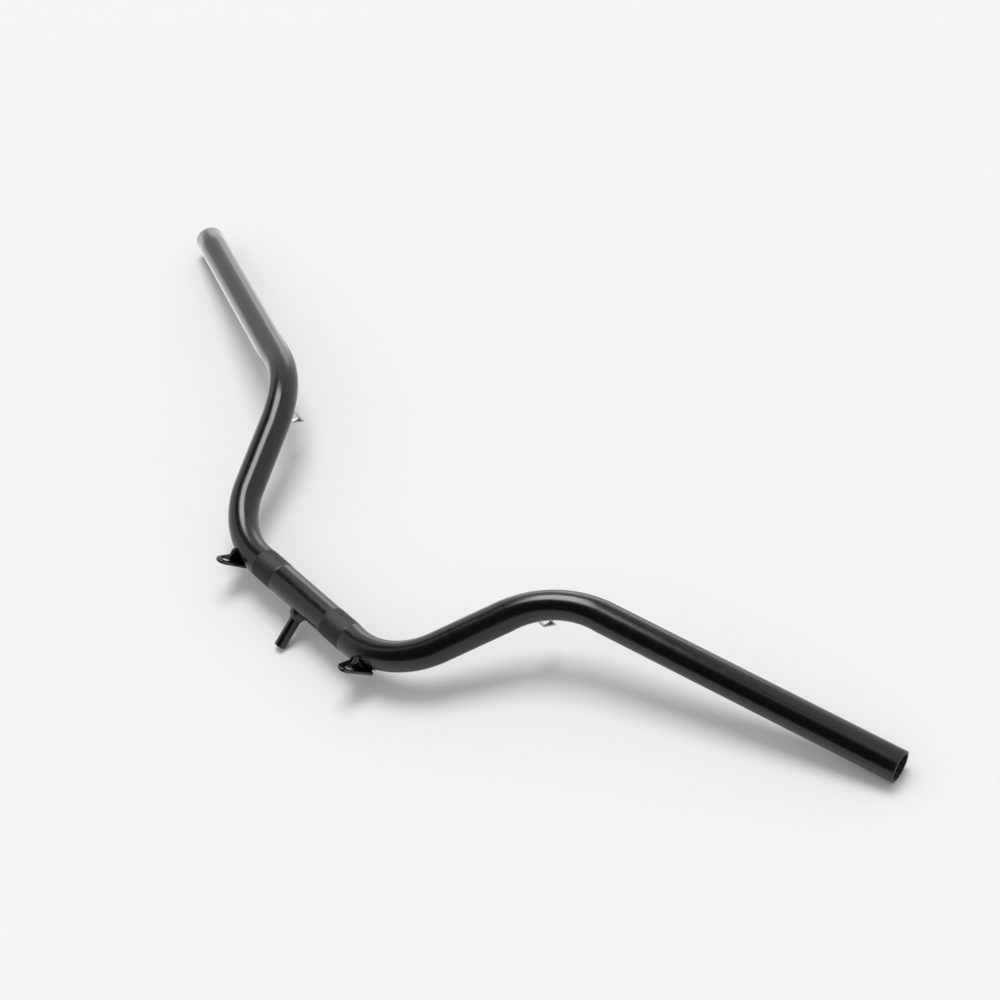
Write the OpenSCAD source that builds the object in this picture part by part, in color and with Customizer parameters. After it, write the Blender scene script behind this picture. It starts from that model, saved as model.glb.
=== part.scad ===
// Bicycle handlebar: one bent tube with two lower and two upper bends, a
// clamp zone with two knurled bands, a locating peg under the middle, a
// pressed bracket on each lower bend and a strap guide on each upper bend.
// Millimetres, +Z up, the bar lying at rest, clamp axis along X, left to right.

/* [Tube] */
// Outside diameter of the tube
tube_d = 22.2; // [19:0.1:25.4]
// Wall thickness of the tube
tube_wall = 2; // [1.2:0.1:3]
// Fullness of the bent runs over the straight ones, on the diameter
bend_swell = 0.12; // [0.1:0.02:0.3]

/* [Bar shape] */
// Straight run from the middle to each lower bend
clamp_half = 56; // [54:0.5:80]
// Centreline radius of the lower bends
lower_radius = 65.5; // [60:0.5:90]
// Angle of the lower bends, from clamp zone to riser
lower_angle = 61.8; // [50:0.1:70]
// Straight run of each riser, between its two bends
riser_length = 51; // [40:0.5:90]
// Centreline radius of the upper bends
upper_radius = 77.7; // [65:0.1:100]
// Angle of the upper bends, from riser to grip
upper_angle = 50.2; // [42:0.1:56]
// Turn of the upper bends out of the plane of the lower ones
upper_twist = 20.2; // [12:0.1:26]
// Straight run of each grip, from upper bend to open end
grip_length = 220.5; // [150:0.5:260]

/* [Knurled bands] */
// Distance from the middle to the near edge of each knurled band
band_start = 30; // [24:0.5:32]
// Width of each knurled band along the clamp zone
band_width = 22; // [12:0.5:22]
// Height of the knurl crests over the plain tube
band_height = 0.25; // [0.1:0.05:0.4]

/* [Locating peg] */
// Diameter of the peg
peg_d = 8.2; // [6:0.1:10]
// Reach of the peg from the axis of the clamp zone
peg_reach = 37.8; // [30:0.1:45]
// Lean of the peg out of the plane of the lower bends
peg_lean = 18.5; // [10:0.5:25]
// Diameter of the weld cone where it meets the tube
peg_root_d = 14; // [12:0.1:15]
// Height of the weld cone over the tube
peg_root_height = 4; // [3:0.1:6]
// Chamfer round the tip of the peg
peg_chamfer = 0.6; // [0.3:0.1:1]

/* [Brackets] */
// Position of each bracket along its lower bend
bracket_at = 16.8; // [14:0.1:20]
// Length of the foot plate from its square end to its rounded tip
plate_length = 32.5; // [30:0.5:36]
// Width of the foot plate
plate_width = 18; // [14:0.5:20]
// Thickness of the foot plate and of its web
plate_thickness = 2.4; // [2:0.1:3]
// Clear height between the tube and the foot plate
plate_gap = 3.6; // [3.4:0.1:6]
// Reach of the square end behind the line where the plate passes the tube
plate_back = 10; // [8:0.5:12]
// Lean of the foot plate against the axis of the rise
plate_lean = 21; // [15:0.5:26]
// Diameter of the eye near the rounded tip
eye_d = 7; // [5:0.1:8]
// Diameter of the small hole through the web
web_hole_d = 2.6; // [2:0.1:2.8]

/* [Cable guides] */
// Position of each guide along its upper bend
guide_at = 13.8; // [10:0.1:18]
// Width of the strap along the cable
strap_width = 5; // [4:0.1:7]
// Thickness of the strap
strap_thickness = 1.2; // [1:0.1:1.4]
// Clear width between the legs of the guide
guide_gap = 5.4; // [5:0.1:6]
// Depth of the short leg under the tube axis
guide_short = 20.6; // [19:0.1:24]
// Depth of the long leg under the tube axis
guide_long = 29.6; // [27:0.1:34]

/* [Hidden] */
$fn = 96;
// Small overshoot that lets a cut break cleanly through a face
eps = 0.5;
// Length over which each straight run is let into the bend next to it
joint_lap = 0.5;
// Inside diameter of the straight runs
bore_d = tube_d - 2 * tube_wall;
// Outside and inside diameter of the bent runs
bend_d = tube_d + bend_swell;
bend_bore_d = bore_d - bend_swell;
// Mid-plane of the foot plate, measured from the axis of the tube
plate_drop = tube_d / 2 + plate_gap + plate_thickness / 2;
// Reach of the rounded tip of the foot plate past the tube
plate_front = plate_length - plate_back;
// Width of the web where it stands on the foot plate
web_foot = plate_length - plate_width / 2;
// Half of the outside width of a guide, slope of its floor and height of the
// floor measured along the legs
guide_outer = guide_gap / 2 + strap_thickness;
guide_slope = (guide_long - guide_short) / (2 * guide_outer);
floor_height = strap_thickness * sqrt(1 + guide_slope * guide_slope);

// Rotations of a direction about the X axis and about the Z axis
function about_x(v, a) = [v[0], v[1] * cos(a) - v[2] * sin(a), v[1] * sin(a) + v[2] * cos(a)];
function about_z(v, a) = [v[0] * cos(a) - v[1] * sin(a), v[0] * sin(a) + v[1] * cos(a), v[2]];
// Step across a bend that starts along X and curves towards Y
function bend_step(radius, angle) = [radius * sin(angle), radius * (1 - cos(angle)), 0];
// The same direction or step seen from the frame of the clamp zone
function past_lower(v) = about_z(v, lower_angle);
function past_twist(v) = past_lower(about_x(v, 180 + upper_twist));

// Centre of the open right end and the direction in which the grip points
riser_end = [clamp_half, 0, 0] + bend_step(lower_radius, lower_angle)
    + past_lower([riser_length, 0, 0]);
grip_start = riser_end + past_twist(bend_step(upper_radius, upper_angle));
grip_direction = past_twist([cos(upper_angle), sin(upper_angle), 0]);
grip_end = grip_start + grip_length * grip_direction;
// Point on the tube axis over which the right cable guide stands
guide_centre = riser_end + past_twist(bend_step(upper_radius, guide_at));
// Centre of the peg tip and the direction in which the peg points
peg_direction = [0, -cos(peg_lean), -sin(peg_lean)];
peg_tip = peg_reach * peg_direction;

// Lowest height of a round end face once the bar is turned about X by an angle
function face_low(centre, direction, d, angle) =
    let (slope = about_x(direction, angle)[2])
    about_x(centre, angle)[2] - d / 2 * sqrt(1 - slope * slope);
// How much lower the peg tip lies than the ends of the grips
function peg_excess(angle) =
    face_low(grip_end, grip_direction, tube_d, angle)
    - face_low(peg_tip, peg_direction, peg_d - 2 * peg_chamfer, angle);
// Turn about X at which the peg and both grip ends touch the ground together
function rest_turn(low, high, steps) =
    let (middle = (low + high) / 2)
    steps == 0 ? middle
    : peg_excess(middle) > 0 ? rest_turn(low, middle, steps - 1)
    : rest_turn(middle, high, steps - 1);
rest_angle = rest_turn(0, 45, 40);

// Cross-section of the tube wall
module tube_section() {
    difference() {
        circle(d = tube_d);
        circle(d = bore_d);
    }
}

// Straight piece of tube wall running along X from one place to another
module straight_wall(from, to) {
    translate([from, 0, 0])
        rotate([0, 90, 0])
            linear_extrude(to - from)
                tube_section();
}

// Solid bend starting along X and curving towards Y
module bend_core(radius, angle, d) {
    translate([0, radius, 0])
        rotate([0, 0, -90])
            rotate_extrude(angle = angle)
                translate([radius, 0])
                    circle(d = d);
}

// Bent piece of tube wall
module bent_wall(radius, angle) {
    difference() {
        bend_core(radius, angle, bend_d);
        bend_core(radius, angle, bend_bore_d);
    }
}

// Frames met on the way from the middle of the bar to its right end
module at_lower_bend() {
    translate([clamp_half, 0, 0])
        children();
}

module at_riser() {
    at_lower_bend()
        translate(bend_step(lower_radius, lower_angle))
            rotate([0, 0, lower_angle])
                children();
}

module at_upper_bend() {
    at_riser()
        translate([riser_length, 0, 0])
            rotate([180 + upper_twist, 0, 0])
                children();
}

module at_grip() {
    at_upper_bend()
        translate(bend_step(upper_radius, upper_angle))
            rotate([0, 0, upper_angle])
                children();
}

// Everything is drawn with the clamp axis on X and then laid down at rest
module at_rest() {
    rotate([rest_angle, 0, 0])
        children();
}

// Bends, riser and grip of the right half
module half_bar() {
    at_lower_bend()
        bent_wall(lower_radius, lower_angle);
    at_riser()
        straight_wall(-joint_lap, riser_length + joint_lap);
    at_upper_bend()
        bent_wall(upper_radius, upper_angle);
    at_grip()
        straight_wall(-joint_lap, grip_length);
}

// Raised ring that carries the knurl of one half
module knurled_band() {
    translate([band_start, 0, 0])
        rotate([0, 90, 0])
            difference() {
                cylinder(d = tube_d + 2 * band_height, h = band_width);
                translate([0, 0, -eps])
                    cylinder(d = tube_d - tube_wall, h = band_width + 2 * eps);
            }
}

module handlebar_tube() {
    color([0.09, 0.09, 0.1])
        at_rest() {
            straight_wall(-clamp_half - joint_lap, clamp_half + joint_lap);
            half_bar();
            mirror([1, 0, 0])
                half_bar();
            knurled_band();
            mirror([1, 0, 0])
                knurled_band();
        }
}

// Peg turned along its axis: weld cone, shank and chamfered tip
module locating_peg() {
    root = tube_d / 2;
    color([0.12, 0.12, 0.13])
        at_rest()
            rotate([90 + peg_lean, 0, 0])
                difference() {
                    union() {
                        cylinder(d = peg_d, h = peg_reach - peg_chamfer);
                        translate([0, 0, peg_reach - peg_chamfer])
                            cylinder(d1 = peg_d, d2 = peg_d - 2 * peg_chamfer, h = peg_chamfer);
                        cylinder(d = peg_root_d, h = root);
                        translate([0, 0, root])
                            cylinder(d1 = peg_root_d, d2 = peg_d, h = peg_root_height);
                    }
                    translate([-clamp_half, 0, 0])
                        rotate([0, 90, 0])
                            cylinder(d = tube_d, h = 2 * clamp_half);
                }
}

// Outline of the foot plate, square at the back and round at the tip
module plate_outline() {
    difference() {
        union() {
            translate([-plate_back, -plate_width / 2])
                square([web_foot, plate_width]);
            translate([plate_front - plate_width / 2, 0])
                circle(d = plate_width);
        }
        translate([plate_front - plate_width / 2, 0])
            circle(d = eye_d);
    }
}

// Web standing on the foot plate, high at the tube and sloping to the eye
module web_outline() {
    difference() {
        polygon([
            [-plate_back + plate_thickness, 0],
            [plate_front - plate_width + plate_thickness, 0],
            [plate_width / 2, plate_gap + tube_d / 2],
            [-plate_width / 3, plate_gap + tube_d / 2]
        ]);
        translate([plate_thickness, plate_gap / 2 + plate_thickness / 4])
            circle(d = web_hole_d);
    }
}

// Pressed bracket of the right half, in the frame of its place on the bend
module bracket_blank() {
    rotate([90 + plate_lean, 0, 0])
        rotate([0, 0, 90])
            translate([0, 0, plate_drop]) {
                translate([0, 0, -plate_thickness / 2])
                    linear_extrude(plate_thickness)
                        plate_outline();
                translate([0, plate_thickness / 2, -plate_thickness / 2])
                    rotate([90, 0, 0])
                        linear_extrude(plate_thickness)
                            mirror([0, 1])
                                web_outline();
            }
}

module bracket() {
    difference() {
        at_lower_bend()
            translate(bend_step(lower_radius, bracket_at))
                bracket_blank();
        at_lower_bend()
            bend_core(lower_radius, lower_angle, bend_d);
    }
}

module right_bracket() {
    color([0.05, 0.05, 0.06])
        at_rest()
            bracket();
}

module left_bracket() {
    color([0.05, 0.05, 0.06])
        at_rest()
            mirror([1, 0, 0])
                bracket();
}

// Side view of the strap: short leg, slanting floor and long leg
module strap_outline() {
    difference() {
        polygon([
            [-guide_outer, 0],
            [-guide_outer, guide_short],
            [guide_outer, guide_long],
            [guide_outer, 0]
        ]);
        polygon([
            [-guide_gap / 2, -eps],
            [-guide_gap / 2, guide_short + guide_slope * strap_thickness - floor_height],
            [guide_gap / 2, guide_long - guide_slope * strap_thickness - floor_height],
            [guide_gap / 2, -eps]
        ]);
    }
}

// Strap guide of the right half, coped to the upper bend
module cable_guide() {
    difference() {
        translate(guide_centre)
            rotate([-90, 0, 90])
                translate([0, 0, -strap_width / 2])
                    linear_extrude(strap_width)
                        strap_outline();
        at_upper_bend()
            bend_core(upper_radius, upper_angle, bend_d);
    }
}

module right_cable_guide() {
    color([0.7, 0.7, 0.72])
        at_rest()
            cable_guide();
}

module left_cable_guide() {
    color([0.7, 0.7, 0.72])
        at_rest()
            mirror([1, 0, 0])
                cable_guide();
}

handlebar_tube();
locating_peg();
left_bracket();
right_bracket();
left_cable_guide();
right_cable_guide();
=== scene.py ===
"""Bicycle handlebar: a satin black bent tube with knurled clamp bands, a welded
peg, pressed brackets and steel strap guides, lying on a pale studio floor."""

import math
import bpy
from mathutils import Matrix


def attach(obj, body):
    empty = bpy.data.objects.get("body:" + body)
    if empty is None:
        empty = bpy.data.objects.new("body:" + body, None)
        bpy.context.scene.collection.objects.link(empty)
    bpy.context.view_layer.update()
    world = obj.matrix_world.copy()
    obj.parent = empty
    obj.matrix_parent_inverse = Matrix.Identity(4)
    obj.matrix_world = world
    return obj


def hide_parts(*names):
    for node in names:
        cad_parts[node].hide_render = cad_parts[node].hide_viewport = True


bl_info = {
    "name": "Bicycle Handlebar",
    "version": (1, 0, 0),
    "blender": (4, 5, 0),
    "location": "View3D > Sidebar > Handlebar",
    "description": "Builds a riser handlebar and the studio it lies in",
    "category": "Object",
}

import bmesh
import bpy
from bpy.props import FloatProperty, FloatVectorProperty, IntProperty, PointerProperty
from mathutils import Matrix, Vector

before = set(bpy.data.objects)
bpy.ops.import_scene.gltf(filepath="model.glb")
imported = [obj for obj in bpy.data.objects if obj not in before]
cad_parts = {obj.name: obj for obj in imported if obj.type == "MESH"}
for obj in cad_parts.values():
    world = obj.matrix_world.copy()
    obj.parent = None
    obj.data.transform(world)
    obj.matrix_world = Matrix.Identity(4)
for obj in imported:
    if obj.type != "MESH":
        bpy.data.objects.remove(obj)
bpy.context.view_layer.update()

MM = 0.001
TAU = 2 * math.pi
# Points nearer than this are merged.
SAME_POINT = 0.000005
# The bar lies turned by this angle about the axis of its clamp zone.
REST_TURN = math.radians(17.5124)
FLOOR_HEIGHT = -25.056 * MM
# Half the side of the floor, in metres.
FLOOR_HALF = 12
# Sides of the tube's skins and of a weld bead.
TUBE_SIDES = 96
BEAD_SIDES = 12
# Depth of a bead's middle line under the skin of the tube.
BEAD_SINK = 0.2 * MM
# Place of each strap guide along its upper bend.
GUIDE_AT = math.radians(13.8)
# Material slots of the tube; its skin has slot 0.
CUT_END = 1
BORE = 2
# Outline of the peg in millimetres: distance behind its tip, and flare.
PEG_PROFILE = (
    (0.25, -0.2), (0.6, 0), (10.0, 0), (20.0, 0), (21.5, 0.15),
    (22.8, 0.6), (24.0, 1.35), (25.2, 2.4), (26.4, 3.0),
)
# Front of the web, as shares of its reach along the plate and its rise.
WEB_FRONT = ((1, 0), (0.99, -0.43), (0.95, -0.81), (0.87, -0.96), (0.73, -1))
# Cards: name, place, point that each faces, width, height and strength.
REFLECTION_CARDS = (
    ("side_card", (-1.9, 0.65, 0.75), (-0.3, 0.15, 0), 1.6, 1.1, 1.1),
    ("back_card", (-1.7, 1.6, 0.3), (-0.3, 0.15, 0), 1.9, 1.0, 3.0),
    ("ground_card", (-0.52, 0.28, FLOOR_HEIGHT + MM), (-0.52, 0.28, 1), 0.5, 0.55, 2.0),
    ("front_shade", (0.4, -2.5, 2.1), (0, 0, 0), 5.0, 5.0, 0.01),
    ("upper_shade", (-1.7, 0.0, 1.9), (0, 0, 0), 1.2, 1.0, 0.01),
    ("streak_card", (-0.23, 0.2, 0.79), (-0.11, 0.04, 0.02), 0.42, 0.6, 10.0),
    ("streak_shade", (-0.235, 0.205, 0.82), (-0.11, 0.04, 0.02), 0.8, 0.9, 0.02),
)


class TubeSettings(bpy.types.PropertyGroup):
    """Sizes of the bent tube."""

    diameter: FloatProperty(
        name="Diameter", description="Outside diameter of the tube",
        default=22.2 * MM, unit="LENGTH", precision=4,
    )
    wall: FloatProperty(
        name="Wall", description="Thickness of the tube wall",
        default=2.0 * MM, unit="LENGTH", precision=4,
    )
    clamp_half: FloatProperty(
        name="Clamp half", description="Middle of the bar to the lower bend",
        default=56.0 * MM, unit="LENGTH",
    )
    lower_radius: FloatProperty(
        name="Lower radius", description="Centreline radius of the lower bends",
        default=65.5 * MM, unit="LENGTH",
    )
    lower_angle: FloatProperty(
        name="Lower angle", description="Angle of the lower bends",
        default=math.radians(61.8), subtype="ANGLE",
    )
    riser: FloatProperty(
        name="Riser", description="Straight run between the two bends",
        default=51.0 * MM, unit="LENGTH",
    )
    upper_radius: FloatProperty(
        name="Upper radius", description="Centreline radius of the upper bends",
        default=77.7 * MM, unit="LENGTH",
    )
    upper_angle: FloatProperty(
        name="Upper angle", description="Angle of the upper bends",
        default=math.radians(50.2), subtype="ANGLE",
    )
    upper_twist: FloatProperty(
        name="Twist", description="Turn of the upper bends out of the lower ones' plane",
        default=math.radians(20.2), subtype="ANGLE",
    )
    grip: FloatProperty(
        name="Grip", description="Straight run from upper bend to open end",
        default=220.5 * MM, unit="LENGTH",
    )
    lower_flattening: FloatProperty(
        name="Lower flattening", description="Share by which the lower bends are flattened",
        default=0.05, subtype="FACTOR", min=0.0, max=0.2,
    )
    upper_flattening: FloatProperty(
        name="Upper flattening", description="Share by which the upper bends are flattened",
        default=0.08, subtype="FACTOR", min=0.0, max=0.2,
    )
    coating: FloatVectorProperty(
        name="Coating", description="Colour of the satin coating",
        default=(0.004, 0.004, 0.0042), subtype="COLOR", size=3, min=0.0, max=1.0,
    )


class KnurlSettings(bpy.types.PropertyGroup):
    """Sizes of the knurled bands in the clamp zone."""

    start: FloatProperty(
        name="Start", description="Middle of the bar to the near edge of a band",
        default=30.0 * MM, unit="LENGTH",
    )
    width: FloatProperty(name="Width", description="Width of a band", default=22.0 * MM, unit="LENGTH")
    height: FloatProperty(
        name="Height", description="Height of the crests over the tube",
        default=0.25 * MM, unit="LENGTH", precision=5,
    )
    seat: FloatProperty(
        name="Seat", description="Depth of the band under the skin of the tube",
        default=0.4 * MM, unit="LENGTH", precision=5,
    )
    ridges: IntProperty(name="Ridges", description="Ridges round the tube", default=44, min=12, max=90)
    rows: IntProperty(name="Rows", description="Rows of crests along a band", default=14, min=4, max=24)


class FittingSettings(bpy.types.PropertyGroup):
    """Sizes and colours of the peg, brackets, guides and welds."""

    peg_diameter: FloatProperty(
        name="Peg diameter", description="Diameter of the peg",
        default=8.2 * MM, unit="LENGTH", precision=4,
    )
    peg_reach: FloatProperty(
        name="Peg reach", description="Reach of the peg from the tube axis",
        default=37.8 * MM, unit="LENGTH",
    )
    peg_lean: FloatProperty(
        name="Peg lean", description="Lean of the peg out of the plane of the risers",
        default=math.radians(18.5), subtype="ANGLE",
    )
    bracket_at: FloatProperty(
        name="Bracket place", description="Place of each bracket along its lower bend",
        default=math.radians(16.8), subtype="ANGLE",
    )
    plate_lean: FloatProperty(
        name="Plate lean", description="Lean of the foot plate",
        default=math.radians(33), subtype="ANGLE",
    )
    plate_drop: FloatProperty(
        name="Plate drop", description="Middle of the plate from the tube axis",
        default=12.2 * MM, unit="LENGTH",
    )
    plate_thickness: FloatProperty(
        name="Plate thickness", description="Thickness of plate and web",
        default=2.2 * MM, unit="LENGTH", precision=4,
    )
    plate_half: FloatProperty(
        name="Plate half width", description="Half width of the plate at the tube",
        default=10.8 * MM, unit="LENGTH",
    )
    plate_tail: FloatProperty(
        name="Plate tail", description="Tail of the plate behind its widest place",
        default=3.0 * MM, unit="LENGTH",
    )
    plate_shift: FloatProperty(
        name="Plate shift", description="Shift of the plate towards the middle of the bar",
        default=2.3 * MM, unit="LENGTH",
    )
    web_shift: FloatProperty(
        name="Web shift", description="Shift of the web towards the middle of the bar",
        default=0.4 * MM, unit="LENGTH",
    )
    web_reach: FloatProperty(
        name="Web reach", description="Reach of the web along the plate",
        default=14.6 * MM, unit="LENGTH",
    )
    web_rise: FloatProperty(
        name="Web rise", description="Rise of the web over the plate",
        default=9.4 * MM, unit="LENGTH",
    )
    tip_radius: FloatProperty(
        name="Tip radius", description="Rounding of the plate's tip",
        default=5.3 * MM, unit="LENGTH",
    )
    tip_reach: FloatProperty(
        name="Tip reach", description="Reach of the plate's tip",
        default=24.2 * MM, unit="LENGTH",
    )
    eye_radius: FloatProperty(
        name="Eye radius", description="Radius of the eye in the plate",
        default=3.1 * MM, unit="LENGTH", precision=4,
    )
    bead: FloatProperty(
        name="Weld bead", description="Radius of the weld beads",
        default=1.1 * MM, unit="LENGTH", precision=4,
    )
    guide_round: FloatProperty(
        name="Guide rounding", description="Rounding of the strap guides' edges",
        default=0.245 * MM, unit="LENGTH", precision=5,
    )
    bracket_colour: FloatVectorProperty(
        name="Bracket", description="Colour of the gloss coating",
        default=(0.002, 0.002, 0.0021), subtype="COLOR", size=3, min=0.0, max=1.0,
    )
    steel_colour: FloatVectorProperty(
        name="Steel", description="Colour of the bare steel",
        default=(0.56, 0.56, 0.57), subtype="COLOR", size=3, min=0.0, max=1.0,
    )


class StudioSettings(bpy.types.PropertyGroup):
    """Floor, light and camera."""

    floor_colour: FloatVectorProperty(
        name="Floor", description="Colour of floor and background",
        default=(0.905, 0.905, 0.91), subtype="COLOR", size=3, min=0.0, max=1.0,
    )
    key_strength: FloatProperty(
        name="Key", description="Strength of the key light",
        default=1.47, min=0.0,
    )
    fill_strength: FloatProperty(
        name="Fill", description="Strength of the light all round",
        default=0.56, min=0.0,
    )
    lens: FloatProperty(name="Lens", description="Focal length in millimetres", default=102.45, min=20.0)


# Frames along the right half of the bar, from its middle outwards.


def clamp_frame():
    """Frame of the clamp zone: X along the tube, Y towards the rise."""
    return Matrix.Rotation(REST_TURN, 4, "X")


def past_bend(radius, angle):
    """Step across a bend that starts along X and curves towards Y."""
    step = Vector((radius * math.sin(angle), radius * (1 - math.cos(angle)), 0))
    return Matrix.Translation(step) @ Matrix.Rotation(angle, 4, "Z")


def lower_bend_frame(tube):
    return clamp_frame() @ Matrix.Translation((tube.clamp_half, 0, 0))


def riser_frame(tube):
    return lower_bend_frame(tube) @ past_bend(tube.lower_radius, tube.lower_angle)


def upper_bend_frame(tube):
    turn = Matrix.Rotation(math.pi + tube.upper_twist, 4, "X")
    return riser_frame(tube) @ Matrix.Translation((tube.riser, 0, 0)) @ turn


def grip_frame(tube):
    return upper_bend_frame(tube) @ past_bend(tube.upper_radius, tube.upper_angle)


# Finishes.


class Finish:
    """A node material under construction, with its principled shader."""

    def __init__(self, name, colour, metallic, roughness):
        self.material = bpy.data.materials.new(name)
        self.material.use_nodes = True
        self.nodes = self.material.node_tree.nodes
        self.links = self.material.node_tree.links
        self.shader = self.nodes["Principled BSDF"]
        self.shader.inputs["Base Color"].default_value = (*colour, 1)
        self.shader.inputs["Metallic"].default_value = metallic
        self.shader.inputs["Roughness"].default_value = roughness
        self.place = self.nodes.new("ShaderNodeTexCoord")

    def noise(self, scale, detail=3.0):
        texture = self.nodes.new("ShaderNodeTexNoise")
        texture.inputs["Scale"].default_value = scale
        texture.inputs["Detail"].default_value = detail
        self.links.new(self.place.outputs["Object"], texture.inputs["Vector"])
        return texture.outputs["Fac"]

    def spread(self, source, low, high):
        """Stretches the middle values of a noise over a range."""
        ramp = self.nodes.new("ShaderNodeMapRange")
        ramp.inputs["From Min"].default_value = 0.3
        ramp.inputs["From Max"].default_value = 0.7
        ramp.inputs["To Min"].default_value = low
        ramp.inputs["To Max"].default_value = high
        self.links.new(source, ramp.inputs["Value"])
        return ramp.outputs["Result"]

    def mottle_colour(self, source, dark, light):
        mix = self.nodes.new("ShaderNodeMix")
        mix.data_type = "RGBA"
        mix.inputs["A"].default_value = (*dark, 1)
        mix.inputs["B"].default_value = (*light, 1)
        self.links.new(source, mix.inputs["Factor"])
        self.links.new(mix.outputs["Result"], self.shader.inputs["Base Color"])

    def mottle_roughness(self, source, low, high):
        self.links.new(self.spread(source, low, high), self.shader.inputs["Roughness"])

    def grain(self, source, distance, strength=1.0):
        bump = self.nodes.new("ShaderNodeBump")
        bump.inputs["Strength"].default_value = strength
        bump.inputs["Distance"].default_value = distance
        self.links.new(source, bump.inputs["Height"])
        self.links.new(bump.outputs["Normal"], self.shader.inputs["Normal"])


def satin_coating(colour):
    """Satin black coating over the tube, faintly orange-peeled."""
    finish = Finish("satin_coating", colour, 0.0, 0.3)
    finish.shader.inputs["IOR"].default_value = 1.5
    finish.mottle_colour(finish.noise(35), [0.8 * c for c in colour], [1.25 * c for c in colour])
    finish.mottle_roughness(finish.noise(260, 5), 0.2, 0.26)
    finish.grain(finish.noise(1500, 2), 0.00002, 0.3)
    return finish.material


def knurl_painted_sheen(colour):
    """The same coating where the knurl breaks it up, lightened to 1.5 to 4 times the coating as a
    painted sheen on the crests.
    """
    finish = Finish("knurl_painted_sheen", colour, 0.0, 0.42)
    finish.shader.inputs["IOR"].default_value = 1.58
    finish.mottle_colour(finish.noise(500, 4), [1.5 * c for c in colour], [4.0 * c for c in colour])
    finish.mottle_roughness(finish.noise(700, 4), 0.24, 0.36)
    return finish.material


def groove_painted_shade(colour):
    """Dull coating down in the grooves of the knurl, darkened to 0.4 to 0.8 of the coating as painted
    shade.
    """
    finish = Finish("groove_painted_shade", colour, 0.0, 0.7)
    finish.shader.inputs["Specular IOR Level"].default_value = 0.2
    finish.mottle_colour(finish.noise(600, 4), [0.4 * c for c in colour], [0.8 * c for c in colour])
    finish.mottle_roughness(finish.noise(400, 4), 0.6, 0.8)
    return finish.material


def bore_coating(colour):
    """Dull dark inside of the tube, with faint drawing marks."""
    finish = Finish("bore_coating", colour, 0.0, 0.75)
    finish.mottle_colour(finish.noise(180, 4), [0.5 * c for c in colour], [1.1 * c for c in colour])
    finish.mottle_roughness(finish.noise(500, 4), 0.65, 0.85)
    return finish.material


def gloss_coating(colour):
    """Wet-looking gloss black dip coating of the brackets."""
    finish = Finish("gloss_coating", colour, 0.0, 0.12)
    finish.shader.inputs["Coat Weight"].default_value = 0.4
    finish.shader.inputs["Coat Roughness"].default_value = 0.05
    finish.mottle_colour(finish.noise(120), colour, [1.8 * c for c in colour])
    finish.mottle_roughness(finish.noise(300), 0.1, 0.2)
    finish.grain(finish.noise(420, 2), 0.00012, 0.5)
    return finish.material


def bare_steel(name, colour, low, high):
    """Bare steel with fine rolling marks."""
    finish = Finish(name, colour, 1.0, low)
    finish.mottle_colour(finish.noise(240, 4), [0.75 * c for c in colour], colour)
    finish.mottle_roughness(finish.noise(900, 4), low, high)
    finish.grain(finish.noise(1800, 3), 0.00002, 0.4)
    return finish.material


# Meshes. The right half is modelled and then mirrored.


def new_piece(name, bm, materials):
    """Turns a bmesh into a shown piece that rides on the part."""
    bmesh.ops.recalc_face_normals(bm, faces=bm.faces)
    mesh = bpy.data.meshes.new(name)
    bm.to_mesh(mesh)
    bm.free()
    for material in materials:
        mesh.materials.append(material)
    piece = bpy.data.objects.new(name, mesh)
    bpy.context.scene.collection.objects.link(piece)
    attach(piece, "root")
    return piece


def shade_smooth(bm, sharp_angle):
    """Smooth faces with edges left sharp beyond an angle."""
    for face in bm.faces:
        face.smooth = True
    for edge in bm.edges:
        edge.smooth = len(edge.link_faces) == 2 and edge.calc_face_angle(0) < sharp_angle


def circle(bm, place, radius, segments):
    """Open circle of edges round the Z axis of a frame."""
    made = bmesh.ops.create_circle(bm, cap_ends=False, segments=segments, radius=radius, matrix=place)
    verts = set(made["verts"])
    return [edge for edge in bm.edges if edge.verts[0] in verts and edge.verts[1] in verts]


def ring(bm, place, radius, segments):
    """Open circle of edges round the X axis of a frame."""
    return circle(bm, place @ Matrix.Rotation(math.pi / 2, 4, "Y"), radius, segments)


def extrude_rim(bm, rim, step):
    """Extrudes an open rim by a step and returns the new rim."""
    made = bmesh.ops.extrude_edge_only(bm, edges=rim)["geom"]
    verts = {item for item in made if isinstance(item, bmesh.types.BMVert)}
    bmesh.ops.translate(bm, verts=list(verts), vec=step)
    return [
        item for item in made
        if isinstance(item, bmesh.types.BMEdge) and item.verts[0] in verts and item.verts[1] in verts
    ]


def rim_verts(rim):
    return list({vert for edge in rim for vert in edge.verts})


def edges_of(items):
    return [item for item in items if isinstance(item, bmesh.types.BMEdge)]


def shrink_round(verts, place, share):
    """Scales points by a share towards the X axis of a frame."""
    back = place.inverted()
    for vert in verts:
        local = back @ vert.co
        vert.co = place @ Vector((local.x, local.y * share, local.z * share))


def grow_straight(bm, rim, place, length, steps):
    """Grows a straight run of wall along the X axis of a frame."""
    step = place.to_3x3() @ Vector((length / steps, 0, 0))
    for _ in range(steps):
        rim = extrude_rim(bm, rim, step)
    return rim


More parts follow.
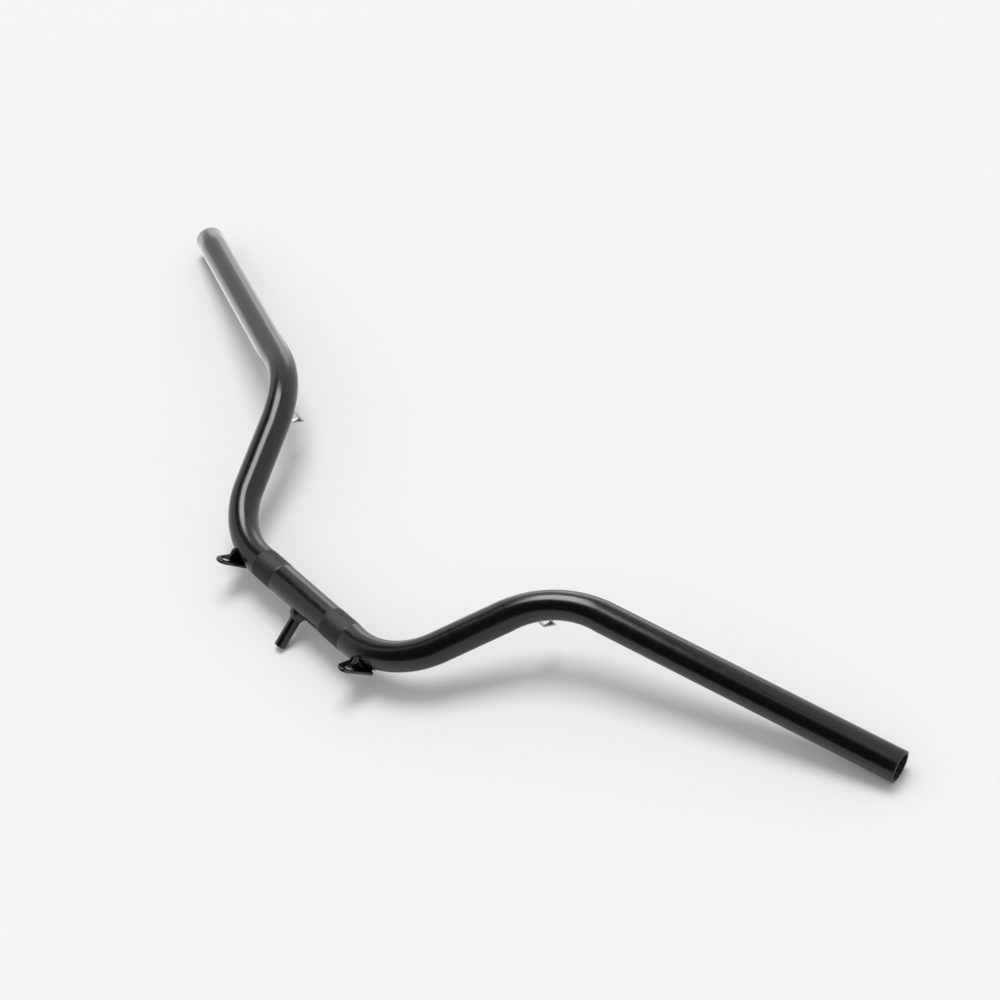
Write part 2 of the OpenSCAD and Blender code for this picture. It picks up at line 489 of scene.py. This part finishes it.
def grow_bend(bm, rim, place, radius, angle, steps, flattening):
    """Spins a rim round a bend and flattens the bend in its own plane."""
    ease = 0.7
    swell = 0.4
    before = set(bm.verts)
    made = bmesh.ops.spin(
        bm, geom=rim_verts(rim) + rim, cent=place @ Vector((0, radius, 0)),
        axis=place.to_3x3() @ Vector((0, 0, 1)), angle=angle, steps=steps,
    )
    back = place.inverted()
    for vert in bm.verts:
        if vert in before:
            continue
        local = back @ vert.co
        turn = math.atan2(local.x, radius - local.y)
        squeeze = flattening * math.sin(math.pi * min(max(turn / angle, 0), 1)) ** ease
        reach = radius + (math.hypot(local.x, local.y - radius) - radius) * (1 - squeeze)
        local.x, local.y = reach * math.sin(turn), radius - reach * math.cos(turn)
        local.z *= 1 + swell * squeeze
        vert.co = place @ local
    return edges_of(made["geom_last"])


def grow_half_wall(bm, tube, radius, segments):
    """Grows one skin of the right half and returns the rim at its open end."""
    rim = ring(bm, clamp_frame(), radius, segments)
    rim = grow_straight(bm, rim, clamp_frame(), tube.clamp_half, steps=2)
    rim = grow_bend(
        bm, rim, lower_bend_frame(tube), tube.lower_radius, tube.lower_angle, steps=40,
        flattening=tube.lower_flattening,
    )
    rim = grow_straight(bm, rim, riser_frame(tube), tube.riser, steps=4)
    rim = grow_bend(
        bm, rim, upper_bend_frame(tube), tube.upper_radius, tube.upper_angle, steps=36,
        flattening=tube.upper_flattening,
    )
    return grow_straight(bm, rim, grip_frame(tube), tube.grip, steps=10)


def mirror_across_middle(bm):
    """Adds the left half to a right half."""
    bmesh.ops.mirror(
        bm, geom=list(bm.verts) + list(bm.edges) + list(bm.faces), matrix=Matrix.Identity(4),
        merge_dist=0.00001, axis="X",
    )
    bmesh.ops.remove_doubles(bm, verts=bm.verts, dist=0.000002)


def tube_piece(tube, steel):
    """Bent tube with an inner skin and cut ends of bare metal."""
    bm = bmesh.new()
    radius = tube.diameter / 2
    outer = grow_half_wall(bm, tube, radius, TUBE_SIDES)
    skin = len(bm.faces)
    inner = grow_half_wall(bm, tube, radius - tube.wall, TUBE_SIDES)
    bm.faces.ensure_lookup_table()
    for face in bm.faces[skin:]:
        face.material_index = BORE
    lip = extrude_rim(bm, outer, (0, 0, 0))
    shrink_round(rim_verts(lip), grip_frame(tube), 1 - tube.wall / radius)
    for edge in lip:
        for face in edge.link_faces:
            face.material_index = CUT_END
    bmesh.ops.remove_doubles(bm, verts=rim_verts(lip + inner), dist=0.00002)
    corner = []
    for edge in bm.edges:
        slots = {face.material_index for face in edge.link_faces}
        if len(slots) == 2 and CUT_END in slots:
            corner.append(edge)
    bmesh.ops.bevel(
        bm, geom=corner, offset=0.3 * MM, offset_type="OFFSET", segments=2, profile=0.5,
        affect="EDGES", material=CUT_END, clamp_overlap=True,
    )
    mirror_across_middle(bm)
    shade_smooth(bm, math.radians(35))
    materials = [
        satin_coating(tube.coating),
        bare_steel("cut_end", [0.08 * c for c in steel], 0.35, 0.5),
        bore_coating(tube.coating),
    ]
    piece = new_piece("bent_tube", bm, materials)
    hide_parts("handlebar_tube")
    return piece


def crest(turns):
    """Height from 0 to 1 of a wave with flat crests and flat grooves."""
    steepness = 1.7
    sink = 0.2
    wave = abs(2 * (turns - math.floor(turns)) - 1)
    return min(max(steepness * wave - sink, 0), 1)


def knurl_piece(tube, knurl):
    """Both knurled bands: ridges along the tube, cut across in rows."""
    bm = bmesh.new()
    radius = tube.diameter / 2
    lift = 0.05 * MM
    fade_run = 1.6 * MM
    plain_edge = 0.6 * MM
    points_a_wave = 6
    sides = knurl.ridges * points_a_wave
    start = clamp_frame() @ Matrix.Translation((knurl.start, 0, 0))
    first = ring(bm, start, radius, sides)
    last = grow_straight(bm, first, start, knurl.width, knurl.rows * points_a_wave)
    back = start.inverted()
    for vert in bm.verts:
        local = back @ vert.co
        around = math.atan2(local.z, local.y) / TAU * knurl.ridges
        along = local.x / knurl.width * knurl.rows
        fade = min(local.x, knurl.width - local.x) / fade_run
        rise = min(crest(around), crest(along), max(fade, 0))
        scale = 1 + (lift + knurl.height * rise) / radius if fade > 0.01 else 1
        vert.co = start @ Vector((local.x, local.y * scale, local.z * scale))
    deep = radius + lift + 0.4 * knurl.height
    # Faces low in the grooves take slot 1, the painted shade; the rest take slot 0, the painted sheen.
    for face in bm.faces:
        middle = back @ face.calc_center_median()
        inside = plain_edge < middle.x < knurl.width - plain_edge
        face.material_index = 1 if inside and math.hypot(middle.y, middle.z) < deep else 0
    share = 1 - knurl.seat / radius
    for rim in (first, last):
        lip = extrude_rim(bm, rim, (0, 0, 0))
        shrink_round(rim_verts(lip), start, share)
    inner = ring(bm, start, radius * share, sides)
    grow_straight(bm, inner, start, knurl.width, steps=1)
    bmesh.ops.remove_doubles(bm, verts=bm.verts, dist=SAME_POINT)
    mirror_across_middle(bm)
    shade_smooth(bm, math.radians(60))
    materials = [knurl_painted_sheen(tube.coating), groove_painted_shade(tube.coating)]
    return new_piece("knurled_bands", bm, materials)


def peg_piece(tube, fitting):
    """Peg grown from its chamfered tip to a flared root that follows the tube."""
    bm = bmesh.new()
    tip_chamfer = 0.6 * MM
    root_sink = 0.15 * MM
    lean = fitting.peg_lean
    direction = clamp_frame().to_3x3() @ Vector((0, -math.cos(lean), -math.sin(lean)))
    across = clamp_frame().to_3x3() @ Vector((1, 0, 0))
    third = direction.cross(across)
    place = Matrix((direction, across, third)).transposed().to_4x4()
    radius = fitting.peg_diameter / 2
    tip = place @ Matrix.Translation((fitting.peg_reach, 0, 0))
    rim = ring(bm, tip, radius - tip_chamfer, segments=48)
    bmesh.ops.contextual_create(bm, geom=rim)
    back = place.inverted()
    last = 0
    for depth, flare in PEG_PROFILE:
        rim = extrude_rim(bm, rim, -direction * (depth - last) * MM)
        last = depth
        for vert in rim_verts(rim):
            local = back @ vert.co
            ratio = (radius + flare * MM) / math.hypot(local.y, local.z)
            local.y *= ratio
            local.z *= ratio
            vert.co = place @ local
    for vert in rim_verts(rim):
        local = back @ vert.co
        local.x = math.sqrt(max((tube.diameter / 2) ** 2 - local.z**2, 0)) - root_sink
        vert.co = place @ local
    bmesh.ops.contextual_create(bm, geom=rim)
    shade_smooth(bm, math.radians(35))
    piece = new_piece("welded_peg", bm, [bpy.data.materials["satin_coating"]])
    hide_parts("locating_peg")
    return piece


def round_edges(bm, width, angle, segments):
    """Rounds every edge that turns by more than an angle."""
    sharp = [edge for edge in bm.edges if len(edge.link_faces) == 2 and edge.calc_face_angle(0) > angle]
    bmesh.ops.bevel(
        bm, geom=sharp, offset=width, offset_type="OFFSET", segments=segments, profile=0.5,
        affect="EDGES", material=-1, clamp_overlap=True,
    )


def guide_piece(side, fitting, steel):
    """Copy of one strap guide with its edges rounded."""
    node = side + "_cable_guide"
    bm = bmesh.new()
    bm.from_mesh(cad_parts[node].data)
    bmesh.ops.remove_doubles(bm, verts=bm.verts, dist=SAME_POINT)
    bmesh.ops.dissolve_limit(bm, angle_limit=math.radians(2), verts=bm.verts, edges=bm.edges)
    round_edges(bm, fitting.guide_round, math.radians(35), segments=2)
    for face in bm.faces:
        face.material_index = 0
    shade_smooth(bm, math.radians(32))
    piece = new_piece(side + "_strap_guide", bm, [steel])
    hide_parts(node)
    return piece


def weld_bead(bm, place, radius, bead, start, sweep, x):
    """Rippled bead laid round the tube at one place along it, its ends tapered."""
    ramp = 6
    thinnest = 0.05
    ripple = 0.1
    ripples = 40
    turned = place @ Matrix.Rotation(start, 4, "X")
    spot = turned @ Matrix.Translation((x, radius, 0)) @ Matrix.Rotation(math.pi / 2, 4, "X")
    rim = circle(bm, spot, bead, BEAD_SIDES)
    before = set(bm.verts) - set(rim_verts(rim))
    made = bmesh.ops.spin(
        bm, geom=rim_verts(rim) + rim, cent=place @ Vector((x, 0, 0)),
        axis=place.to_3x3() @ Vector((1, 0, 0)), angle=sweep, steps=36,
    )
    bmesh.ops.contextual_create(bm, geom=rim)
    bmesh.ops.contextual_create(bm, geom=edges_of(made["geom_last"]))
    back = turned.inverted()
    for vert in bm.verts:
        if vert in before:
            continue
        local = back @ vert.co
        turn = math.atan2(local.z, local.y)
        along = min(max(turn / sweep, 0), 1)
        taper = min(1, ramp * along, ramp * (1 - along)) ** 0.5
        size = max(taper, thinnest) * (1 - ripple + ripple * math.sin(along * ripples))
        reach = radius + (math.hypot(local.y, local.z) - radius) * size
        aside = x + (local.x - x) * size
        vert.co = turned @ Vector((aside, reach * math.cos(turn), reach * math.sin(turn)))


def bracket_frame(tube, fitting):
    """Frame of the right foot plate: X to its tip, Z away from the tube."""
    centre = Matrix.Translation(past_bend(tube.lower_radius, fitting.bracket_at).translation)
    lean = Matrix.Rotation(math.pi / 2 + fitting.plate_lean, 4, "X")
    return lower_bend_frame(tube) @ centre @ (lean @ Matrix.Rotation(math.pi / 2, 4, "Z"))


def plate_face(bm, place, fitting):
    """Tear-shaped face with a round eye, in the middle plane of the foot plate."""
    tip = fitting.tip_radius
    back = fitting.plate_half
    tail = fitting.plate_tail
    reach = fitting.tip_reach - tip
    corner = 2.5 * MM
    skew = 1.4 * MM
    eye_setback = 2.3 * MM
    tip_steps = 24
    start = math.pi / 2 - math.atan2(back - tip, reach)
    points = []
    for k in range(tip_steps + 1):
        turn = start - start * k / (tip_steps / 2)
        points.append((reach + tip * math.cos(turn), tip * math.sin(turn)))
    points += [
        (corner * 0.35, -back), (0, -back + corner), (-tail, -0.5 * back),
        (-tail, 0.5 * back), (0, back - corner), (corner * 0.35, back),
    ]
    verts = []
    for x, y in points:
        slide = fitting.plate_shift - skew * max(x, 0) / reach
        verts.append(bm.verts.new(place @ Vector((x, y + slide, 0))))
    rim = [bm.edges.new((verts[k - 1], verts[k])) for k in range(len(verts))]
    spot = place @ Matrix.Translation((reach - eye_setback, 0, 0))
    eye = circle(bm, spot, fitting.eye_radius, segments=32)
    made = bmesh.ops.triangle_fill(bm, use_beauty=True, use_dissolve=False, edges=rim + eye)["geom"]
    return [item for item in made if isinstance(item, bmesh.types.BMFace)]


def web_face(bm, place, tube, fitting):
    """Face of the web that stands on the plate and reaches into the tube wall."""
    seat = tube.diameter / 2 - 0.8 * MM
    points = [(-1.0 * MM, 0)]
    points += [(x * fitting.web_reach, z * fitting.web_rise) for x, z in WEB_FRONT]
    for k in range(9):
        turn = math.radians(74 - 8.5 * k)
        points.append((seat * math.sin(turn), seat * math.cos(turn) - fitting.plate_drop))
    verts = [bm.verts.new(place @ Vector((x, fitting.web_shift, z))) for x, z in points]
    return [bm.faces.new(verts)]


def thicken(bm, faces, direction, thickness):
    """Extrudes faces both ways from their plane into a closed sheet."""
    middle = {vert for face in faces for vert in face.verts}
    bmesh.ops.translate(bm, verts=list(middle), vec=-direction * thickness / 2)
    made = bmesh.ops.extrude_face_region(bm, geom=faces, use_keep_orig=True)["geom"]
    verts = [item for item in made if isinstance(item, bmesh.types.BMVert)]
    bmesh.ops.translate(bm, verts=verts, vec=direction * thickness)
    bmesh.ops.recalc_face_normals(bm, faces=bm.faces)


def pressed_bracket(tube, fitting, coating, side):
    """Foot plate and web of one bracket, with rounded edges."""
    place = bracket_frame(tube, fitting) @ Matrix.Translation((0, 0, fitting.plate_drop))
    turn = place.to_3x3()
    bm = bmesh.new()
    plate = plate_face(bm, place, fitting)
    thicken(bm, plate, turn @ Vector((0, 0, 1)), fitting.plate_thickness)
    round_edges(bm, 0.5 * MM, math.radians(40), segments=3)
    web = bmesh.new()
    upright = web_face(web, place, tube, fitting)
    thicken(web, upright, turn @ Vector((0, 1, 0)), fitting.plate_thickness)
    round_edges(web, 0.4 * MM, math.radians(60), segments=3)
    scrap = bpy.data.meshes.new("web")
    web.to_mesh(scrap)
    web.free()
    bm.from_mesh(scrap)
    bpy.data.meshes.remove(scrap)
    if side == "left":
        bmesh.ops.scale(bm, verts=bm.verts, vec=(-1, 1, 1))
    shade_smooth(bm, math.radians(32))
    piece = new_piece(side + "_pressed_bracket", bm, [coating])
    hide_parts(side + "_bracket")
    return piece


def seam_bead(bm, tube, bead, around, start, sweep):
    """Plain bead laid along a lower bend at one angle round the tube."""
    bend = lower_bend_frame(tube)
    reach = tube.diameter / 2 - BEAD_SINK
    here = bend @ past_bend(tube.lower_radius, start)
    spot = here @ Matrix.Translation((0, reach * math.cos(around), reach * math.sin(around)))
    rim = ring(bm, spot, bead, BEAD_SIDES)
    bmesh.ops.contextual_create(bm, geom=rim)
    made = bmesh.ops.spin(
        bm, geom=rim_verts(rim) + rim, cent=bend @ Vector((0, tube.lower_radius, 0)),
        axis=bend.to_3x3() @ Vector((0, 0, 1)), angle=sweep, steps=24,
    )
    bmesh.ops.contextual_create(bm, geom=edges_of(made["geom_last"]))


def bracket_weld_piece(tube, fitting):
    """Beads on both sides of each web, and a seam between tube and foot plate."""
    bm = bmesh.new()
    bead = fitting.bead
    centre = past_bend(tube.lower_radius, fitting.bracket_at).translation
    place = lower_bend_frame(tube) @ Matrix.Translation(centre)
    reach = tube.diameter / 2 - BEAD_SINK
    beside_web = 0.5 * fitting.plate_thickness + 0.4 * bead
    web_start = math.radians(146)
    web_sweep = math.radians(62)
    for side in (-1, 1):
        weld_bead(bm, place, reach, bead, web_start, web_sweep, side * beside_web - fitting.web_shift)
    seam_around = math.radians(219)
    seam_start = fitting.bracket_at - math.radians(8)
    seam_sweep = math.radians(11)
    seam_bead(bm, tube, bead, seam_around, seam_start, seam_sweep)
    mirror_across_middle(bm)
    shade_smooth(bm, math.radians(70))
    return new_piece("bracket_welds", bm, [bpy.data.materials["gloss_coating"]])


def guide_weld_piece(tube):
    """Small blobs that hold the legs of each strap guide to the tube."""
    bm = bmesh.new()
    centre = (upper_bend_frame(tube) @ past_bend(tube.upper_radius, GUIDE_AT)).translation
    turn = clamp_frame().to_3x3()
    away = 3.3 * MM
    drop = math.sqrt((tube.diameter / 2) ** 2 - away**2)
    blob = Matrix.Diagonal((3.0 * MM, 1.3 * MM, 0.9 * MM, 1))
    for side in (-1, 1):
        spot = centre + turn @ Vector((0, side * away, -drop))
        shape = Matrix.Translation(spot) @ clamp_frame() @ blob
        bmesh.ops.create_icosphere(bm, subdivisions=3, radius=1.0, matrix=shape)
    mirror_across_middle(bm)
    shade_smooth(bm, math.radians(70))
    return new_piece("guide_welds", bm, [bpy.data.materials["satin_coating"]])


# Operators and the studio.


class HANDLEBAR_OT_tube(bpy.types.Operator):
    """Model the bent tube with its flattened bends and cut ends"""

    bl_idname = "handlebar.tube"
    bl_label = "Bent tube"

    def execute(self, context):
        scene = context.scene
        tube_piece(scene.handlebar_tube, scene.handlebar_fittings.steel_colour)
        return {"FINISHED"}


class HANDLEBAR_OT_knurl(bpy.types.Operator):
    """Raise the knurled bands of the clamp zone"""

    bl_idname = "handlebar.knurl"
    bl_label = "Knurled bands"

    def execute(self, context):
        knurl_piece(context.scene.handlebar_tube, context.scene.handlebar_knurl)
        return {"FINISHED"}


class HANDLEBAR_OT_peg(bpy.types.Operator):
    """Weld the locating peg under the middle of the bar"""

    bl_idname = "handlebar.peg"
    bl_label = "Locating peg"

    def execute(self, context):
        peg_piece(context.scene.handlebar_tube, context.scene.handlebar_fittings)
        return {"FINISHED"}


class HANDLEBAR_OT_brackets(bpy.types.Operator):
    """Model the pressed brackets and weld them on"""

    bl_idname = "handlebar.brackets"
    bl_label = "Brackets"

    def execute(self, context):
        fitting = context.scene.handlebar_fittings
        coating = gloss_coating(fitting.bracket_colour)
        for side in ("left", "right"):
            pressed_bracket(context.scene.handlebar_tube, fitting, coating, side)
        bracket_weld_piece(context.scene.handlebar_tube, fitting)
        return {"FINISHED"}


class HANDLEBAR_OT_guides(bpy.types.Operator):
    """Round the steel strap guides and weld them on"""

    bl_idname = "handlebar.guides"
    bl_label = "Cable guides"

    def execute(self, context):
        fitting = context.scene.handlebar_fittings
        steel = bare_steel("guide_steel", fitting.steel_colour, 0.22, 0.36)
        for side in ("left", "right"):
            guide_piece(side, fitting, steel)
        guide_weld_piece(context.scene.handlebar_tube)
        return {"FINISHED"}


def studio_floor(studio):
    """Wide pale floor under the bar."""
    bm = bmesh.new()
    place = Matrix.Translation((0, 0, FLOOR_HEIGHT))
    bmesh.ops.create_grid(bm, x_segments=1, y_segments=1, size=FLOOR_HALF, matrix=place)
    mesh = bpy.data.meshes.new("studio_floor")
    bm.to_mesh(mesh)
    bm.free()
    finish = Finish("studio_floor", studio.floor_colour, 0.0, 0.9)
    finish.shader.inputs["Specular IOR Level"].default_value = 0.0
    light = [min(1.0, 1.004 * c) for c in studio.floor_colour]
    finish.mottle_colour(finish.noise(2), studio.floor_colour, light)
    mesh.materials.append(finish.material)
    floor = bpy.data.objects.new("studio_floor", mesh)
    bpy.context.scene.collection.objects.link(floor)


def reflection_card(name, location, target, width, height, strength):
    """Bright or dark card that only shows as a reflection in the bar."""
    bm = bmesh.new()
    facing = (Vector(target) - Vector(location)).to_track_quat("Z", "Y").to_matrix().to_4x4()
    shape = Matrix.Translation(location) @ facing @ Matrix.Diagonal((width / 2, height / 2, 1, 1))
    bmesh.ops.create_grid(bm, x_segments=1, y_segments=1, size=1, matrix=shape)
    mesh = bpy.data.meshes.new(name)
    bm.to_mesh(mesh)
    bm.free()
    material = bpy.data.materials.new(name)
    material.use_nodes = True
    nodes = material.node_tree.nodes
    nodes.remove(nodes["Principled BSDF"])
    glow = nodes.new("ShaderNodeEmission")
    glow.inputs["Strength"].default_value = strength
    material.node_tree.links.new(glow.outputs["Emission"], nodes["Material Output"].inputs["Surface"])
    mesh.materials.append(material)
    card = bpy.data.objects.new(name, mesh)
    bpy.context.scene.collection.objects.link(card)
    card.visible_camera = False
    card.visible_diffuse = False
    card.visible_shadow = False


def studio_world(studio):
    """Even light all round, with a pale background for camera and reflections."""
    world = bpy.data.worlds.new("studio_world")
    bpy.context.scene.world = world
    world.use_nodes = True
    nodes = world.node_tree.nodes
    links = world.node_tree.links
    fill = nodes["Background"]
    fill.inputs["Color"].default_value = (1, 1, 1, 1)
    fill.inputs["Strength"].default_value = studio.fill_strength
    seen = nodes.new("ShaderNodeBackground")
    seen.inputs["Color"].default_value = (*studio.floor_colour, 1)
    ray = nodes.new("ShaderNodeLightPath")
    mix = nodes.new("ShaderNodeMixShader")
    any_seen = ray.outputs["Is Camera Ray"]
    for output in ("Is Glossy Ray", "Is Transmission Ray"):
        wider = nodes.new("ShaderNodeMath")
        wider.operation = "MAXIMUM"
        links.new(any_seen, wider.inputs[0])
        links.new(ray.outputs[output], wider.inputs[1])
        any_seen = wider.outputs["Value"]
    links.new(any_seen, mix.inputs["Fac"])
    links.new(fill.outputs["Background"], mix.inputs[1])
    links.new(seen.outputs["Background"], mix.inputs[2])
    links.new(mix.outputs["Shader"], nodes["World Output"].inputs["Surface"])


def studio_key(studio):
    """Soft key light from above and behind the rise."""
    light = bpy.data.lights.new("studio_key", "SUN")
    light.energy = studio.key_strength
    light.angle = math.radians(30)
    key = bpy.data.objects.new("studio_key", light)
    bpy.context.scene.collection.objects.link(key)
    towards_light = Vector((-0.12, 0.26, 0.957))
    key.rotation_euler = towards_light.to_track_quat("Z", "Y").to_euler()
    key.visible_glossy = False


def studio_camera(studio):
    """Camera high over the right front, turned slightly on its axis."""
    data = bpy.data.cameras.new("studio_camera")
    data.sensor_width = 36
    data.lens = studio.lens
    camera = bpy.data.objects.new("studio_camera", data)
    bpy.context.scene.collection.objects.link(camera)
    right = Vector((0.61002, 0.76780, -0.19584))
    down = Vector((0.47456, -0.55194, -0.68568))
    ahead = Vector((-0.63456, 0.32534, -0.70106))
    turn = Matrix((right, -down, -ahead)).transposed().to_4x4()
    place = Matrix.Translation((1.29429, -0.49825, 1.39762))
    # Place and axes were fitted with the bar turned by this angle.
    fitted_turn = math.radians(17.16)
    correction = Matrix.Rotation(REST_TURN - fitted_turn, 4, "X")
    camera.matrix_world = correction @ place @ turn
    bpy.context.scene.camera = camera


class HANDLEBAR_OT_studio(bpy.types.Operator):
    """Set up the floor, the lights and the camera"""

    bl_idname = "handlebar.studio"
    bl_label = "Studio"

    def execute(self, context):
        studio = context.scene.handlebar_studio
        studio_floor(studio)
        studio_world(studio)
        studio_key(studio)
        for card in REFLECTION_CARDS:
            reflection_card(*card)
        studio_camera(studio)
        context.scene.view_settings.view_transform = "Standard"
        return {"FINISHED"}


class HANDLEBAR_PT_sidebar(bpy.types.Panel):
    """Lists the pieces of the handlebar and their sizes"""

    bl_idname = "HANDLEBAR_PT_sidebar"
    bl_label = "Handlebar"
    bl_space_type = "VIEW_3D"
    bl_region_type = "UI"
    bl_category = "Handlebar"

    def draw(self, context):
        layout = self.layout
        for operator in OPERATORS:
            layout.operator(operator.bl_idname)
        for name in SETTINGS:
            group = getattr(context.scene, name)
            box = layout.box()
            for key in group.bl_rna.properties.keys():
                if key not in {"rna_type", "name"}:
                    box.prop(group, key)


SETTINGS = {
    "handlebar_tube": TubeSettings,
    "handlebar_knurl": KnurlSettings,
    "handlebar_fittings": FittingSettings,
    "handlebar_studio": StudioSettings,
}
OPERATORS = (
    HANDLEBAR_OT_tube,
    HANDLEBAR_OT_knurl,
    HANDLEBAR_OT_peg,
    HANDLEBAR_OT_brackets,
    HANDLEBAR_OT_guides,
    HANDLEBAR_OT_studio,
)


def register():
    for cls in (*SETTINGS.values(), *OPERATORS, HANDLEBAR_PT_sidebar):
        bpy.utils.register_class(cls)
    for name, group in SETTINGS.items():
        setattr(bpy.types.Scene, name, PointerProperty(type=group))


def unregister():
    for name in SETTINGS:
        delattr(bpy.types.Scene, name)
    for cls in (HANDLEBAR_PT_sidebar, *reversed(OPERATORS), *reversed(list(SETTINGS.values()))):
        bpy.utils.unregister_class(cls)


def main():
    register()
    bpy.ops.handlebar.tube()
    bpy.ops.handlebar.knurl()
    bpy.ops.handlebar.peg()
    bpy.ops.handlebar.brackets()
    bpy.ops.handlebar.guides()
    bpy.ops.handlebar.studio()


if __name__ == "__main__":
    main()
